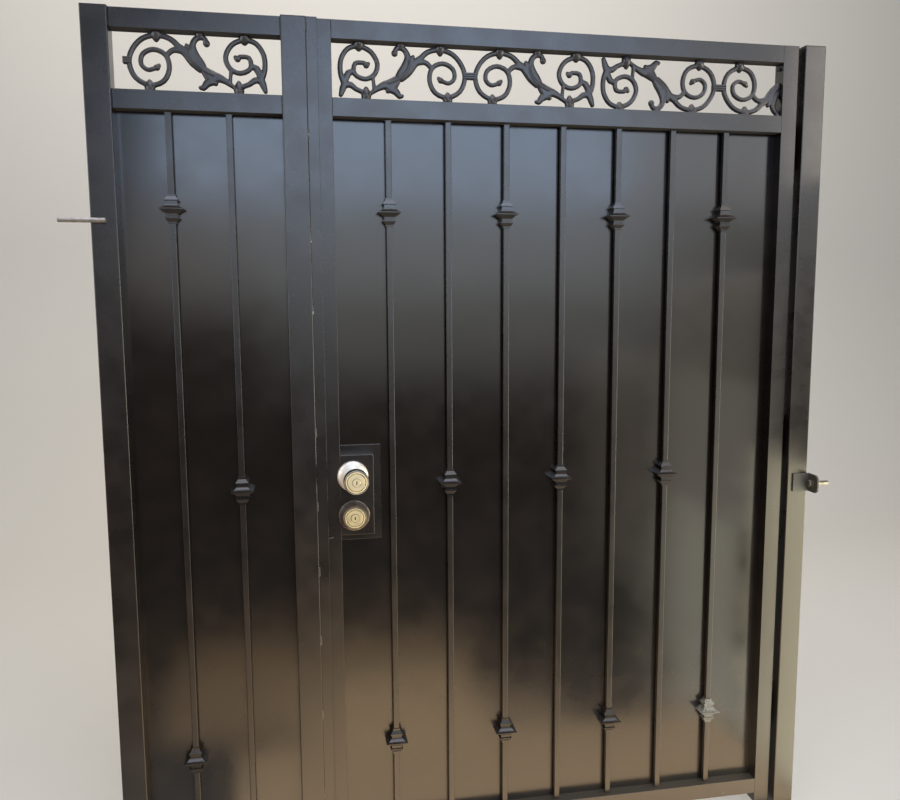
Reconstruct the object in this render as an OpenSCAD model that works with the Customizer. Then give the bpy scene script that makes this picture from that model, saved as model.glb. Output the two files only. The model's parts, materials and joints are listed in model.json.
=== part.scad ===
// Ornamental steel walk gate: a fixed side panel, three posts and one swinging leaf.
// Millimetres, +Z up. The gate runs along X, its street side faces -Y.
// The origin is the centre of the hinge post's foot, at ground level.

/* [Overall] */
// Height of the gate frame, from the bottom rail's underside to the top
frame_h = 1816.1; // [1600:0.1:2400]
// From the ground to the underside of the bottom rails
ground_gap = 63.5; // [40:0.1:120]
// Clear width between the centre post and the hinge post
opening_w = 1117.6; // [800:0.1:1400]
// Clear width of the fixed side panel
panel_w = 330.2; // [200:0.1:600]

/* [Posts and frame tubes] */
// Width of the square posts
post_w = 50.8; // [40:0.1:80]
// Width of the square frame tubes
tube_w = 38.1; // [30:0.1:50]
// Wall thickness of the posts and tubes
wall_t = 2.1; // [1.5:0.1:4]
// Radius of the tubes' rounded corners
corner_r = 2.2; // [1:0.1:6]
// Thickness of the post caps
cap_t = 2.0; // [1:0.1:5]
// How far the leaf's stiles run below its bottom rail
stile_foot = 25.4; // [0:0.1:38]
// Clear height of the scroll opening
scroll_h = 117.0; // [80:0.1:160]

/* [Bars and sheet] */
// Width of the square bars
bar_w = 12.7; // [10:0.1:20]
// Bars in the leaf
leaf_bars = 7; // [3:1:9]
// Bars in the side panel
panel_bars = 2; // [1:1:4]
// How much narrower the leaf's gap beside the lock stile is than its other gaps
lock_side_less = 6.3; // [0:0.1:12]
// How much wider the leaf's gap beside the hinge stile is than its other gaps
last_gap = 5.9; // [0:0.1:12]
// How much narrower the panel's first gap is than an even one
first_gap = 5.5; // [0:0.1:12]
// Thickness of the sheet behind the bars
sheet_t = 1.6; // [1:0.1:3]
// From the frame's front to the sheet's front
sheet_in = 31.7; // [28:0.1:34]

/* [Collars] */
// Width of the cast collars
collar_w = 49.0; // [30:0.1:60]
// Height of the cast collars
collar_h = 60.0; // [40:0.1:80]
// Height of the lowest row of collars above the bottom rail's underside
collar_low = 227.5; // [150:0.1:400]
// Height of the highest row of collars below the middle rail's underside
collar_high = 194.0; // [100:0.1:400]
// How far the middle row of collars sits above the middle between the other rows
collar_lift = 5.0; // [-20:0.1:20]

/* [Lock] */
// Width of the lock box
box_w = 72.7; // [60:0.1:100]
// Height of the lock box
box_h = 180.0; // [120:0.1:260]
// Height of the lock box's middle above the bottom rail's underside
box_z = 816.0; // [600:0.1:1100]
// Border of the plate behind the lock box
plate_edge = 18.0; // [5:0.1:25]
// Thickness of the plate behind the lock box
plate_t = 3.0; // [2:0.1:5]
// Wall thickness of the lock box
shell_t = 3.0; // [2:0.1:5]
// Diameter of the upper lock's guard at its foot
upper_d = 68.5; // [56:0.1:80]
// Length of the upper lock's guard
upper_len = 60.0; // [20:0.1:80]
// Diameter of the lower lock's guard at its foot
lower_d = 67.0; // [56:0.1:80]
// Length of the lower lock's guard
lower_len = 27.0; // [15:0.1:60]
// Diameter of the upper lock's face
upper_face_d = 46.4; // [36:0.1:50]
// Diameter of the lower lock's face
lower_face_d = 44.4; // [36:0.1:50]
// From the stile to the lower lock's centre line
lock_x = 28.7; // [26:0.1:45]
// How much further from the stile the upper lock sits
upper_shift = 2.6; // [0:0.1:6]
// Height from one lock to the other
lock_step = 85.3; // [76:0.1:110]
// How far the lock box's middle lies above the middle between the locks
lock_drop = 2.9; // [0:0.1:10]

/* [Stop strip] */
// Width of the flat bar that the leaf closes behind
stop_w = 22.2; // [20:0.1:30]
// Thickness of the flat bar
stop_t = 4.8; // [3:0.1:6]
// Clear depth from the flat bar to the leaf
stop_gap = 5.2; // [5:0.1:7]

/* [Hinges] */
// Gap between the leaf and the centre post
lock_gap = 12.7; // [6:0.1:14]
// Gap between the leaf and the hinge post
hinge_gap = 8.6; // [7:0.1:14]
// Radius of the hinge barrels
barrel_r = 8.0; // [6:0.1:12]
// Height of each hinge
hinge_h = 101.6; // [60:0.1:150]
// Thickness of the hinge plates
hinge_t = 3.2; // [2:0.1:5]
// Width of the hinge plates
hinge_w = 30.0; // [20:0.1:40]
// Radius of the hinge pins
pin_r = 4.0; // [3:0.1:6]
// How far the leaf opens, in degrees (not used by the shapes)
swing = 105; // [60:1:120]

/* [Wall fixings] */
// Height of the angle clip's middle above the bottom rail's underside
clip_mid = 802.7; // [400:0.1:1400]
// Gap between the hinge post and the wall beside it
wall_gap = 6.5; // [5:0.1:20]
// Reach of the clip's leg on the hinge post, from the post's far edge
clip_leg = 38.0; // [25:0.1:50]
// How far the clip's other leg stands out in front of the post
clip_out = 46.0; // [40:0.1:60]
// Height of the angle clip
clip_h = 43.5; // [30:0.1:80]
// Thickness of the angle clip
clip_t = 4.8; // [3:0.1:8]
// Radius of the outer corners of the clip's standing leg
clip_round = 15.0; // [1:0.1:15]
// Radius of the wall bolt
bolt_r = 5.0; // [4:0.1:7]
// How far the wall bolt reaches past the clip
bolt_out = 38.0; // [20:1:80]
// From the frame's top down to the round anchor rod on the side post
rod_down = 414.1; // [200:0.1:900]
// Diameter of the anchor rod
rod_d = 10.0; // [8:0.1:16]
// How far the anchor rod reaches past the side post
rod_out = 60.0; // [20:1:100]

/* [Scroll castings] */
// Depth of the castings, from front to back
scroll_t = 10.4; // [8:0.1:14]
// From the leaf's stile to its first scroll unit
scroll_in = 6.7; // [5:0.1:40]
// Height of the bands that tie two units together
band_h = 13.0; // [8:0.1:20]

/* [Hidden] */
frame_lo = ground_gap;
frame_hi = ground_gap + frame_h;
half_post = post_w / 2;
front = half_post - tube_w;
leaf_right = -half_post - hinge_gap;
centre_right = -half_post - opening_w;
leaf_left = centre_right + lock_gap;
panel_right = centre_right - post_w;
panel_left = panel_right - panel_w;
sheet_y = front + sheet_in;
bar_y = front + (tube_w - bar_w) / 2;
bar_mid = bar_y + bar_w / 2;
mid_rail_hi = frame_hi - tube_w - scroll_h;
mid_rail_lo = mid_rail_hi - tube_w;
field_lo = frame_lo + tube_w;
field_hi = mid_rail_lo;
leaf_in_l = leaf_left + tube_w;
leaf_in_r = leaf_right - tube_w;
leaf_gap = (leaf_in_r - leaf_in_l - leaf_bars * bar_w - last_gap + lock_side_less) / (leaf_bars + 1);
panel_gap = (panel_w - panel_bars * bar_w) / (panel_bars + 1);
low_row = frame_lo + collar_low;
high_row = mid_rail_lo - collar_high;
rows = [low_row, (low_row + high_row) / 2 + collar_lift, high_row];
pin_x = -half_post - hinge_gap / 2;
pin_y = half_post + barrel_r + 1.5;
hinges = [frame_lo + 220, (frame_lo + frame_hi) / 2, frame_hi - 220];
clip_z = frame_lo + clip_mid;
wall_x = half_post + wall_gap;
bolt_y = -half_post - clip_out * 0.43;
upper_z = frame_lo + box_z - lock_drop + lock_step / 2;
lower_z = frame_lo + box_z - lock_drop - lock_step / 2;
draft_h = 117;
draft_w = 288;
scale_k = scroll_h / draft_h;
unit_w = draft_w * scale_k;
leaf_units = ceil((leaf_in_r - leaf_in_l - scroll_in) / unit_w);
panel_units = max(1, floor(panel_w / unit_w));
panel_in = (panel_w - panel_units * unit_w) / 2;

function leaf_bar_x(i) = leaf_in_l + leaf_gap - lock_side_less + i * (leaf_gap + bar_w);
function panel_bar_x(i) = panel_left + panel_gap + i * (panel_gap + bar_w) - (i == 0 ? first_gap : 0);

// A box from its low corner and its size.
module box(x, y, z, w, d, h) {
  translate([x, y, z]) cube([w, d, h]);
}

// A square with rounded corners, its low corner at the origin.
module rounded(w) {
  translate([corner_r, 0]) square([w - 2 * corner_r, w]);
  translate([0, corner_r]) square([w, w - 2 * corner_r]);
  for (a = [corner_r, w - corner_r])
    for (b = [corner_r, w - corner_r])
      translate([a, b]) circle(r = corner_r, $fn = 48);
}

// A post: a square tube closed at its foot and open at the top, under its cap.
module post(x) {
  difference() {
    translate([x, -half_post, 0]) linear_extrude(height = frame_hi - cap_t) rounded(post_w);
    box(x + wall_t, -half_post + wall_t, 4, post_w - 2 * wall_t, post_w - 2 * wall_t, frame_hi);
  }
}

// An upright of the leaf: a square tube closed at the top and open at its foot.
// Its outer corners are rounded; towards the rails its joints are ground flat.
module stile(x, side) {
  inner = tube_w - 2 * wall_t;
  difference() {
    translate([x, front, frame_lo - stile_foot])
      linear_extrude(height = frame_h + stile_foot) {
        rounded(tube_w);
        translate([side > 0 ? 0 : tube_w / 2, 0]) square([tube_w / 2, tube_w]);
      }
    box(x + wall_t, front + wall_t, 0, inner, inner, frame_hi - 3);
  }
}

// A rail: a square tube, open where its ends are welded to the uprights.
module rail(x, w, z) {
  inner = tube_w - 2 * wall_t;
  difference() {
    box(x, front, z, w, tube_w, tube_w);
    box(x - 1, front + wall_t, z + wall_t, w + 2, inner, inner);
  }
}

module bar(x) {
  box(x, bar_y, field_lo, bar_w, bar_w, field_hi - field_lo);
}

// Half of a collar's outline, as shares of its half width and half height:
// sharp rim, hollow flare, groove, band, slope, sleeve.
collar_side = [
  [1, 0.027], [0.8, 0.09], [0.65, 0.17], [0.555, 0.25], [0.505, 0.31], [0.465, 0.32],
  [0.457, 0.54], [0.57, 0.56], [0.57, 0.62], [0.37, 0.83], [0.335, 0.865], [0.33, 1]
];

// The outline of a collar seen from the front.
module collar_outline() {
  n = len(collar_side);
  w = collar_w / 2;
  h = collar_h / 2;
  polygon(concat(
    [for (i = [0:n - 1]) [w * collar_side[i][0], h * collar_side[i][1]]],
    [for (i = [n - 1:-1:0]) [-w * collar_side[i][0], h * collar_side[i][1]]],
    [for (i = [0:n - 1]) [-w * collar_side[i][0], -h * collar_side[i][1]]],
    [for (i = [n - 1:-1:0]) [w * collar_side[i][0], -h * collar_side[i][1]]]
  ));
}

// A collar around a bar, ground flat where it meets the sheet.
module collar(x, z) {
  difference() {
    translate([x + bar_w / 2, bar_mid, z]) intersection() {
      rotate([90, 0, 0]) linear_extrude(height = 2 * collar_w, center = true) collar_outline();
      rotate([90, 0, 90]) linear_extrude(height = 2 * collar_w, center = true) collar_outline();
    }
    box(x, bar_y, z - collar_h, bar_w, bar_w, 2 * collar_h);
    box(x - collar_w, sheet_y - 0.3, z - collar_h, 3 * collar_w, collar_w, 2 * collar_h);
  }
}

module sheet(x, w) {
  box(x, sheet_y, field_lo, w, sheet_t, field_hi - field_lo);
}

module side_post() {
  color([0.11, 0.09, 0.08]) post(panel_left - post_w);
}

module centre_post() {
  color([0.11, 0.09, 0.08]) post(panel_right);
}

module hinge_post() {
  color([0.11, 0.09, 0.08]) post(-half_post);
}

module post_caps() {
  color([0.11, 0.09, 0.08])
    for (x = [panel_left - post_w, panel_right, -half_post])
      translate([x, -half_post, frame_hi - cap_t])
        linear_extrude(height = cap_t) rounded(post_w);
}

module panel_top_rail() {
  color([0.11, 0.09, 0.08]) rail(panel_left, panel_w, frame_hi - tube_w);
}

module panel_middle_rail() {
  color([0.11, 0.09, 0.08]) rail(panel_left, panel_w, mid_rail_lo);
}

module panel_bottom_rail() {
  color([0.11, 0.09, 0.08]) rail(panel_left, panel_w, frame_lo);
}

module panel_bars() {
  color([0.11, 0.09, 0.08])
    for (i = [0:panel_bars - 1]) bar(panel_bar_x(i));
}

module panel_collars() {
  color([0.1, 0.09, 0.08]) {
    collar(panel_bar_x(0), rows[0]);
    collar(panel_bar_x(0), rows[2]);
    collar(panel_bar_x(1), rows[1]);
  }
}

module panel_sheet() {
  color([0.12, 0.1, 0.09]) sheet(panel_left, panel_w);
}

// A point on a smooth curve through b and c, between its neighbours a and d.
function between(a, b, c, d, t) =
  b + t / 2 * (c - a + t * (2 * a - 5 * b + 4 * c - d + t * (3 * b - a - 3 * c + d)));

// A smooth curve through points [along, up, half width], with n steps for each span.
function curve(p, n) = let (k = len(p) - 1) concat(
  [for (i = [0:k - 1]) for (j = [0:n - 1])
    between(p[max(i - 1, 0)], p[i], p[i + 1], p[min(i + 2, k)], j / n)],
  [p[k]]
);

// A stroke's section, as shares of its half width and half depth: flat faces, blunt sides.
blunt = [[1, 0], [0.66, 1], [-0.66, 1], [-1, 0], [-0.66, -1], [0.66, -1]];

// The corners of a stroke's section at point i of a curve.
function section(c, i, proud) =
  let (d = c[min(i + 1, len(c) - 1)] - c[max(i - 1, 0)])
  let (m = norm([d[0], d[1]]))
  [for (q = blunt) [
    c[i][0] - d[1] / m * c[i][2] * q[0],
    (scroll_t / 2 / scale_k + proud) * q[1],
    c[i][1] + d[0] / m * c[i][2] * q[0]
  ]];

// A cast stroke that swells and thins along its curve. A proud one stands out as a vein.
module stroke(p, n = 3, proud = 0) {
  c = curve(p, n);
  m = len(c);
  polyhedron(
    points = [for (i = [0:m - 1]) each section(c, i, proud)],
    faces = concat(
      [[5, 4, 3, 2, 1, 0]],
      [for (i = [0:m - 2]) for (j = [0:5])
        [i * 6 + j, i * 6 + (j + 1) % 6, i * 6 + 6 + (j + 1) % 6, i * 6 + 6 + j]],
      [[for (j = [0:5]) m * 6 - 6 + j]]
    )
  );
}

// A round bead at a stroke's end.
module bead(x, z, r) {
  translate([x, 0, z]) sphere(r = r, $fn = 12);
}

// The petal boss that carries a scroll on the rail below it.
module low_boss(x, h) {
  translate([x, 0, 0]) rotate_extrude($fn = 14)
    polygon([[0, 0], [8.6, 0], [9.8, h * 0.32], [8.8, h * 0.5], [7, h * 0.67], [3.4, h * 0.88], [0, h]]);
}

// The pointed boss that hangs a scroll from the rail above it.
module high_boss(x, r, h) {
  translate([x, 0, draft_h]) rotate_extrude($fn = 14)
    polygon([[0, 0], [0, -h], [r * 0.3, -h * 0.93], [r * 0.62, -h * 0.72], [r * 0.82, -h * 0.5],
      [r, -h * 0.2], [r * 0.94, 0]]);
}

// The small rose: a spiral on a foot, with a leaf that runs to its boss.
module small_rose() {
  stroke([[20, 32, 6], [12.4, 52, 4.9], [13.4, 80, 4.7], [28, 102.6, 4.6], [52, 108.6, 4.6],
    [76.7, 98, 4.6], [89.6, 74, 4.6], [82, 52, 4.6], [62, 43, 4.5], [41, 53, 4.4], [43, 74, 4.1],
    [63, 75.5, 3.8]]);
  stroke([[39, 57, 4.2], [29, 54, 6.6], [21, 38, 6.2]], 2);
  stroke([[22, 37, 6.6], [16.5, 22, 6.6], [11, 6, 3.2]], 2);
  stroke([[14, 18, 4], [22, 29, 6], [33, 30, 6], [44, 22, 4.6], [62, 15, 4.4]], 2);
  stroke([[79, 50, 3.4], [81, 36, 3], [82, 24, 3.4]], 2);
  bead(66, 71, 6);
  bead(70, 74, 4);
  high_boss(51, 10.5, 19);
  low_boss(65, 29);
}

// The stem between the roses: a broad leaf on the rail, a hooked stem, an arm and a bud.
module stem() {
  stroke([[70, 11, 2.8], [88, 24, 5.4], [104, 32, 8.6], [118, 33, 13.4], [131, 45, 8.6]]);
  stroke([[116, 26, 9], [128, 20, 7.4], [136, 10, 5], [143, 13, 2.8]], 2);
  stroke([[131, 44, 7], [141, 58, 10.2], [150, 74, 9.2], [153.6, 92, 6.2], [147.6, 105, 5.3],
    [138, 109.6, 4.9], [129.4, 107, 4.6], [126, 99, 4.4]]);
  stroke([[136, 46, 8], [152, 61, 10.2], [165, 76, 8.6], [179, 89, 6.2]], 2);
  stroke([[174, 81, 5.8], [189, 83, 5.2], [199, 77, 4.6], [206, 68, 4.2]], 2);
  stroke([[156, 76, 5], [161, 85, 5.8], [166, 95, 2.6]], 2);
  stroke([[112, 36, 1.2], [126, 41, 1.4], [143, 53, 1.6], [155, 68, 1.6], [157, 84, 1.2]], 2, 1.2);
  bead(111, 21, 5);
  bead(126, 98, 6.5);
  translate([139, 0, 107]) cylinder(h = 10, r1 = 5, r2 = 9, $fn = 12);
}

// The large rose: a spiral of one and a half turns between two bosses.
module large_rose() {
  stroke([[179, 88, 5.6], [196, 103.6, 5], [222, 109.6, 4.7], [249.7, 101.8, 4.6], [269.6, 80, 4.6],
    [276.6, 54, 4.6], [265.8, 26, 4.6], [239, 12.4, 4.6], [212, 21, 4.6], [200, 46, 4.5], [206, 72, 4.4],
    [229, 82, 4.3], [250, 72, 4.2], [254, 53, 4], [242, 42, 3.8], [229, 45, 3.7]]);
  bead(224, 47, 5.8);
  bead(220, 51, 3.8);
  high_boss(223, 9.5, 21);
  low_boss(239, 24);
}

// Unit number k of a strip: every other one is a mirror image, and they turn over in pairs.
module unit(k) {
  back = k % 2 == 1 ? 1 : 0;
  over = floor(k / 2) % 2 == 1 ? 1 : 0;
  scale(scale_k) translate([back * draft_w, 0, over * draft_h])
    mirror([back, 0, 0]) mirror([0, 0, over]) {
      small_rose();
      stem();
      large_rose();
    }
}

// A strip of units first to last from x = start, cut off at the sides of its opening.
module scroll_strip(start, first, last, x0, x1) {
  intersection() {
    translate([start, bar_mid, mid_rail_hi])
      for (k = [first:last]) translate([(k - first) * unit_w, 0, 0]) unit(k);
    box(x0, front, mid_rail_hi, x1 - x0, tube_w, scroll_h);
  }
}

// A band that ties two units together where they meet, at x: a grooved block
// with a channel for each casting. The side panel shows the right half of one.
module tie(x, half = false) {
  w = 15 * scale_k;
  h = band_h / 2;
  slot = 6.3 * scale_k;
  t = scroll_t / 2 + 3;
  outline = [[-h, t - 1], [1 - h, t], [-h / 3 - 1, t], [-h / 3, t - 1], [1 - h / 3, t],
    [h / 3 - 1, t], [h / 3, t - 1], [h / 3 + 1, t], [h - 1, t], [h, t - 1]];
  translate([x, bar_mid, mid_rail_hi + scroll_h / 2]) difference() {
    translate([half ? 0 : -w, 0, 0]) rotate([90, 0, 90])
      linear_extrude(height = half ? w : 2 * w)
        polygon(concat([for (p = outline) [p[1], p[0]]], [for (p = outline) [-p[1], -p[0]]]));
    for (s = [-1, 1])
      box(s > 0 ? slot : -slot - w, -scroll_t / 2, -band_h, w, scroll_t, 2 * band_h);
  }
}

module panel_scroll() {
  color([0.1, 0.09, 0.08])
    scroll_strip(panel_left + panel_in, 1, panel_units, panel_left, panel_right);
}

module panel_band() {
  color([0.1, 0.09, 0.08]) tie(panel_left + panel_in, true);
}

// The flat bar on the centre post that the leaf closes behind.
module stop_strip() {
  color([0.11, 0.09, 0.08])
    box(centre_right, front - stop_gap - stop_t, frame_lo - stile_foot,
      stop_w, stop_t, frame_h + stile_foot);
}

// The angle clip: one leg on the hinge post's front, the other along the wall.
module angle_clips() {
  color([0.11, 0.09, 0.08]) {
    box(half_post - clip_leg, -half_post - clip_t, clip_z - clip_h / 2, clip_leg + wall_gap, clip_t, clip_h);
    difference() {
      translate([wall_x - clip_t, -half_post, clip_z]) rotate([90, 0, 90])
        linear_extrude(height = clip_t) standing_leg();
      translate([0, bolt_y, clip_z]) rotate([0, 90, 0])
        cylinder(h = 2 * wall_x, r = bolt_r + 0.5, $fn = 48);
    }
  }
}

// The outline of the clip's standing leg, its outer corners rounded.
module standing_leg() {
  translate([-clip_out + clip_round, -clip_h / 2]) square([clip_out - clip_round - clip_t, clip_h]);
  translate([-clip_out, clip_round - clip_h / 2]) square([clip_out - clip_t, clip_h - 2 * clip_round]);
  for (s = [-1, 1])
    translate([clip_round - clip_out, s * (clip_h / 2 - clip_round)])
      circle(r = clip_round, $fn = 64);
}

// The wall bolt through the angle clip, its washer and head towards the leaf.
module clip_bolts() {
  washer_t = bolt_r * 0.4;
  head_t = bolt_r * 1.4;
  color([0.2, 0.2, 0.19])
    translate([wall_x, bolt_y, clip_z]) rotate([0, 90, 0]) {
      translate([0, 0, -clip_t - washer_t]) cylinder(h = washer_t, r = bolt_r * 2.2, $fn = 64);
      translate([0, 0, -clip_t - washer_t - head_t]) cylinder(h = head_t, r = bolt_r * 1.7, $fn = 6);
      translate([0, 0, -clip_t - washer_t]) cylinder(h = clip_t + washer_t + 0.5, r = bolt_r + 0.3, $fn = 48);
      cylinder(h = bolt_out, r = bolt_r, $fn = 48);
    }
}

// A rod laid across the side post's front, a little thicker where it is welded to it.
module anchor_rods() {
  seat_r = rod_d / 2 + 0.3;
  color([0.6, 0.62, 0.62])
    translate([panel_left - post_w, -half_post - seat_r, frame_hi - rod_down]) rotate([0, 90, 0]) {
      cylinder(h = 3 * rod_d, r = seat_r, $fn = 64);
      translate([0, 0, -rod_out]) cylinder(h = rod_out + 0.5, d = rod_d, $fn = 64);
    }
}

// One knuckle of a hinge, from height a to height b, bored for the pin.
module knuckle(a, b) {
  translate([pin_x, pin_y, a]) difference() {
    cylinder(h = b - a, r = barrel_r, $fn = 96);
    translate([0, 0, -1]) cylinder(h = b - a + 2, r = pin_r + 0.05, $fn = 64);
  }
}

module post_hinge_halves() {
  color([0.12, 0.1, 0.09])
    for (z = hinges) {
      box(pin_x + barrel_r + 1.2, half_post, z - hinge_h / 2, hinge_w, hinge_t, hinge_h);
      knuckle(z - hinge_h / 6, z + hinge_h / 6);
      box(pin_x + 2, half_post, z - hinge_h / 6, barrel_r + 1, hinge_t, hinge_h / 3);
    }
}

module hinge_pins() {
  color([0.3, 0.29, 0.28])
    for (z = hinges)
      translate([pin_x, pin_y, z - hinge_h / 2 - 1]) cylinder(h = hinge_h + 4, r = pin_r, $fn = 64);
}

module lock_stile() {
  color([0.11, 0.09, 0.08]) stile(leaf_left, -1);
}

module hinge_stile() {
  color([0.11, 0.09, 0.08]) stile(leaf_in_r, 1);
}

module top_rail() {
  color([0.11, 0.09, 0.08]) rail(leaf_in_l, leaf_in_r - leaf_in_l, frame_hi - tube_w);
}

module middle_rail() {
  color([0.11, 0.09, 0.08]) rail(leaf_in_l, leaf_in_r - leaf_in_l, mid_rail_lo);
}

module bottom_rail() {
  color([0.11, 0.09, 0.08]) rail(leaf_in_l, leaf_in_r - leaf_in_l, frame_lo);
}

module leaf_bar(i) {
  color([0.11, 0.09, 0.08]) bar(leaf_bar_x(i));
}

module bar_1() {
  leaf_bar(0);
}

module bar_2() {
  leaf_bar(1);
}

module bar_3() {
  leaf_bar(2);
}

module bar_4() {
  leaf_bar(3);
}

module bar_5() {
  leaf_bar(4);
}

module bar_6() {
  leaf_bar(5);
}

module bar_7() {
  leaf_bar(6);
}

module top_collars() {
  color([0.1, 0.09, 0.08])
    for (i = [0:2:leaf_bars - 1]) collar(leaf_bar_x(i), rows[2]);
}

module middle_collars() {
  color([0.1, 0.09, 0.08])
    for (i = [1:2:leaf_bars - 1]) collar(leaf_bar_x(i), rows[1]);
}

module bottom_collars() {
  color([0.1, 0.09, 0.08])
    for (i = [0:2:leaf_bars - 1]) collar(leaf_bar_x(i), rows[0]);
}

module leaf_sheet() {
  color([0.12, 0.1, 0.09]) sheet(leaf_in_l, leaf_in_r - leaf_in_l);
}

module leaf_scroll() {
  color([0.1, 0.09, 0.08])
    scroll_strip(leaf_in_l + scroll_in, 0, leaf_units - 1, leaf_in_l, leaf_in_r);
}

// The bands stand where two large roses meet.
module scroll_bands() {
  color([0.1, 0.09, 0.08])
    for (k = [1:2:leaf_units - 1]) tie(leaf_in_l + scroll_in + k * unit_w);
}

// The lock box: a folded case that stands on its plate, up to the frame's front.
module lock_box() {
  z = frame_lo + box_z - box_h / 2;
  color([0.11, 0.09, 0.08])
    difference() {
      box(leaf_in_l, front, z, box_w, sheet_in - plate_t, box_h);
      box(leaf_in_l + shell_t, front + shell_t, z + shell_t,
        box_w - 2 * shell_t, sheet_in, box_h - 2 * shell_t);
    }
}

module lock_plate() {
  color([0.11, 0.09, 0.08])
    box(leaf_in_l, sheet_y - plate_t, frame_lo + box_z - box_h / 2 - plate_edge,
      box_w + plate_edge, plate_t, box_h + 2 * plate_edge);
}

// A lock's guard: a collar that tapers from its foot to the rim around the lock's face.
module guard(x, z, d, len, face) {
  translate([leaf_in_l + x, front, z]) rotate([90, 0, 0]) difference() {
    union() {
      cylinder(h = 3, d = d, $fn = 128);
      translate([0, 0, 3]) cylinder(h = len - 3, d1 = d - 1.5, d2 = face + 6.5, $fn = 128);
    }
    translate([0, 0, len - 6]) cylinder(h = 10, d = face + 3, $fn = 128);
  }
}

// A lock's face: a disc with a ring groove, and a round plug with a key slot.
module face(x, z, len, d) {
  translate([leaf_in_l + x, front, z]) rotate([90, 0, 0]) difference() {
    union() {
      translate([0, 0, len - 6]) cylinder(h = 7.5, d = d, $fn = 128);
      translate([0, 0, len]) cylinder(h = 2.8, d = 17.4, $fn = 96);
    }
    translate([0, 0, len - 0.7]) difference() {
      cylinder(h = 5, d = d * 0.87, $fn = 96);
      translate([0, 0, -1]) cylinder(h = 7, d = d * 0.8, $fn = 96);
    }
    translate([-1.1, -4, len - 1]) cube([2.2, 8, 10]);
  }
}

module upper_lock_guard() {
  color([0.75, 0.73, 0.68]) guard(lock_x + upper_shift, upper_z, upper_d, upper_len, upper_face_d);
}

module upper_lock_face() {
  color([0.72, 0.62, 0.4]) face(lock_x + upper_shift, upper_z, upper_len, upper_face_d);
}

module lower_lock_guard() {
  color([0.6, 0.58, 0.54]) guard(lock_x, lower_z, lower_d, lower_len, lower_face_d);
}

module lower_lock_face() {
  color([0.72, 0.62, 0.4]) face(lock_x, lower_z, lower_len, lower_face_d);
}

// Plain thumb turns on the yard side of the sheet.
module inside_turns() {
  color([0.6, 0.58, 0.54])
    for (p = [[lock_x, lower_z], [lock_x + upper_shift, upper_z]])
      translate([leaf_in_l + p[0], sheet_y + sheet_t, p[1]])
        rotate([-90, 0, 0]) {
          cylinder(h = 6, d = 2 * lock_x - 4, $fn = 128);
          translate([-4, -14, 5]) cube([8, 28, 16]);
        }
}

module leaf_hinge_halves() {
  color([0.12, 0.1, 0.09])
    for (z = hinges) {
      box(pin_x - barrel_r - 1.2 - hinge_w, half_post, z - hinge_h / 2, hinge_w, hinge_t, hinge_h);
      for (s = [-1, 1]) {
        a = s > 0 ? z + hinge_h / 6 + 0.5 : z - hinge_h / 2;
        knuckle(a, a + hinge_h / 3 - 0.5);
        box(pin_x - barrel_r - 2, half_post, a, barrel_r, hinge_t, hinge_h / 3 - 0.5);
      }
    }
}

side_post();
centre_post();
hinge_post();
post_caps();
panel_top_rail();
panel_middle_rail();
panel_bottom_rail();
panel_bars();
panel_collars();
panel_sheet();
panel_scroll();
panel_band();
stop_strip();
angle_clips();
clip_bolts();
anchor_rods();
post_hinge_halves();
hinge_pins();
lock_stile();
hinge_stile();
top_rail();
middle_rail();
bottom_rail();
bar_1();
bar_2();
bar_3();
bar_4();
bar_5();
bar_6();
bar_7();
top_collars();
middle_collars();
bottom_collars();
leaf_sheet();
leaf_scroll();
scroll_bands();
lock_box();
lock_plate();
upper_lock_guard();
upper_lock_face();
lower_lock_guard();
lower_lock_face();
inside_turns();
leaf_hinge_halves();
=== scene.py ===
# %% [markdown]
# # A painted steel walk gate
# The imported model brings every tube, bar, casting and lock as plain solids in metres, with
# X along the gate, the street side towards -Y and Z up. This lesson dresses it: it rounds
# the edges that catch light, softens the castings, adds welds and small hardware, and gives
# each surface its paint, metal, dust and wear.

import json
import math

import bmesh
import bpy
from mathutils import Matrix, Vector


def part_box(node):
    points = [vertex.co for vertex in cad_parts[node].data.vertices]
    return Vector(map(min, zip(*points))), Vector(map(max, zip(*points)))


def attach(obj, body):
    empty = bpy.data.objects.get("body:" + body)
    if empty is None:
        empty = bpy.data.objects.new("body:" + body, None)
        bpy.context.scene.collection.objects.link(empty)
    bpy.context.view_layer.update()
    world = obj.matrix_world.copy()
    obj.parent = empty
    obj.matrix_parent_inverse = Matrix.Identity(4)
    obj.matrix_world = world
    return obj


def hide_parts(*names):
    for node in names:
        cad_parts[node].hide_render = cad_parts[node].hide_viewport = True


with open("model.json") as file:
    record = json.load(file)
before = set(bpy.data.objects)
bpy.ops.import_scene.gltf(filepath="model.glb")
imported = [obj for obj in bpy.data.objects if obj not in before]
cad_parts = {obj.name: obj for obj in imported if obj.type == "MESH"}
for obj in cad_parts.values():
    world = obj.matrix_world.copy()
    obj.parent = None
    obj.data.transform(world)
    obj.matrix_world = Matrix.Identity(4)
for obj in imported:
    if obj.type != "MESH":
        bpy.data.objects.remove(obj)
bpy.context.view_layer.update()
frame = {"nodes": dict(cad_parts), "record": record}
NODES = frame["nodes"]
MM = 0.001

# %% [markdown]
# ## Places that the pieces share
# Every place below is read from a node's box, so a change of the solids moves the looks too.
# The frame's front is the face of the leaf's rails; the posts stand half an inch prouder.

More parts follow.
